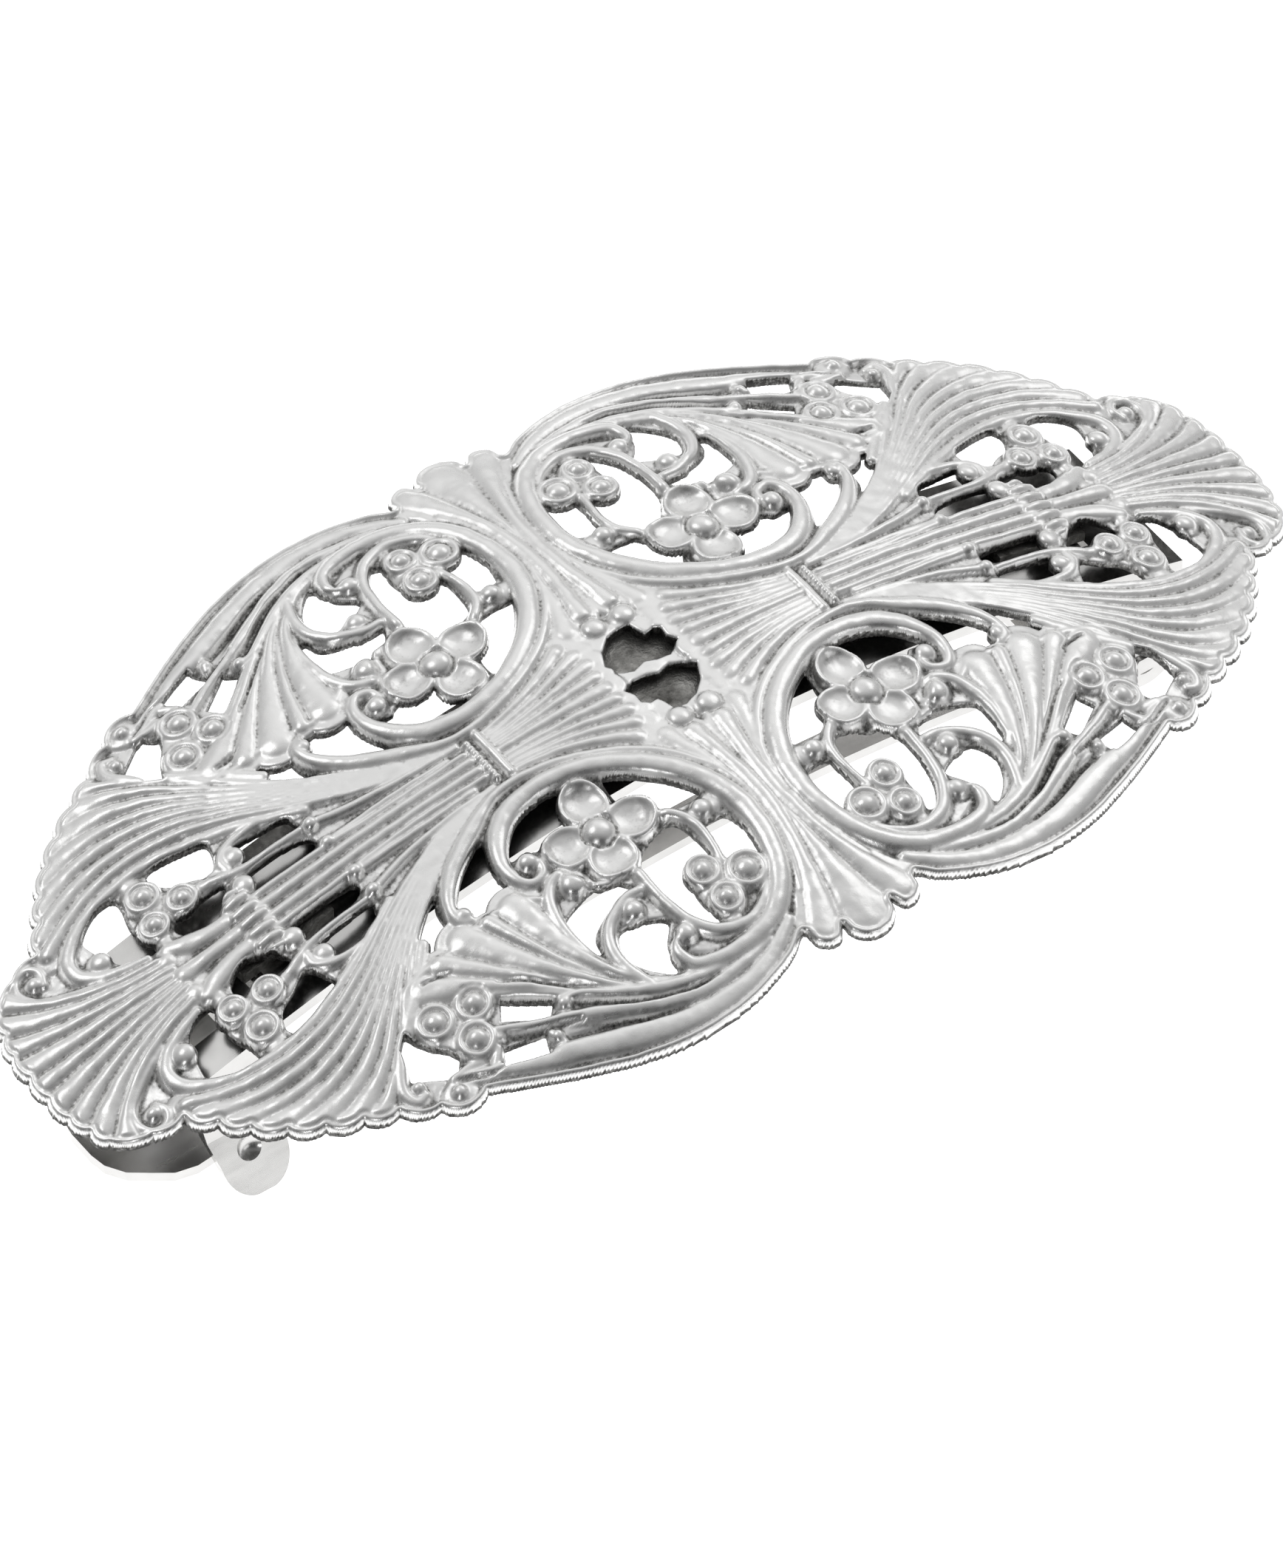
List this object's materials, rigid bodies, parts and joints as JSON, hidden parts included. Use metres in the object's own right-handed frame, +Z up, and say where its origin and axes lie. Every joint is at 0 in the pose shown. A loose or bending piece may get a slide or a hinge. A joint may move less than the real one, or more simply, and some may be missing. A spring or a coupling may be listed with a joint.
{
  "type": "hair barrette",
  "caption": "Pierced filigree barrette plate, arched and scalloped, soldered on a hinged auto-clasp with flared latch ears.",
  "frame": {"origin": "centre of the plan, at the level of the ear tips the barrette stands on", "axes": "+X along the barrette towards the hinge, +Z up through the face of the plate"},
  "size_m": [0.0986, 0.05, 0.0192],
  "materials": {
    "antique_silver": "satin silver plate with dark patina in the hollows",
    "clasp_steel": "bright nickel-plated spring steel",
    "solder": "rough dark tin solder"
  },
  "bodies": {
    "barrette": {"filigree_plate": "antique_silver", "base_bar": "clasp_steel", "bow_spring": "clasp_steel", "solder_centre": "solder", "solder_latch_end": "solder", "solder_hinge_end": "solder"},
    "arm": {"clasp_arm": "clasp_steel"}
  },
  "joints": [
    {"name": "arm_hinge", "type": "hinge", "parent": "barrette", "child": "arm", "pos_m": [0.036, 0, 0.0023], "axis": [0, -1, 0], "range_deg": [0, 95]}
  ]
}
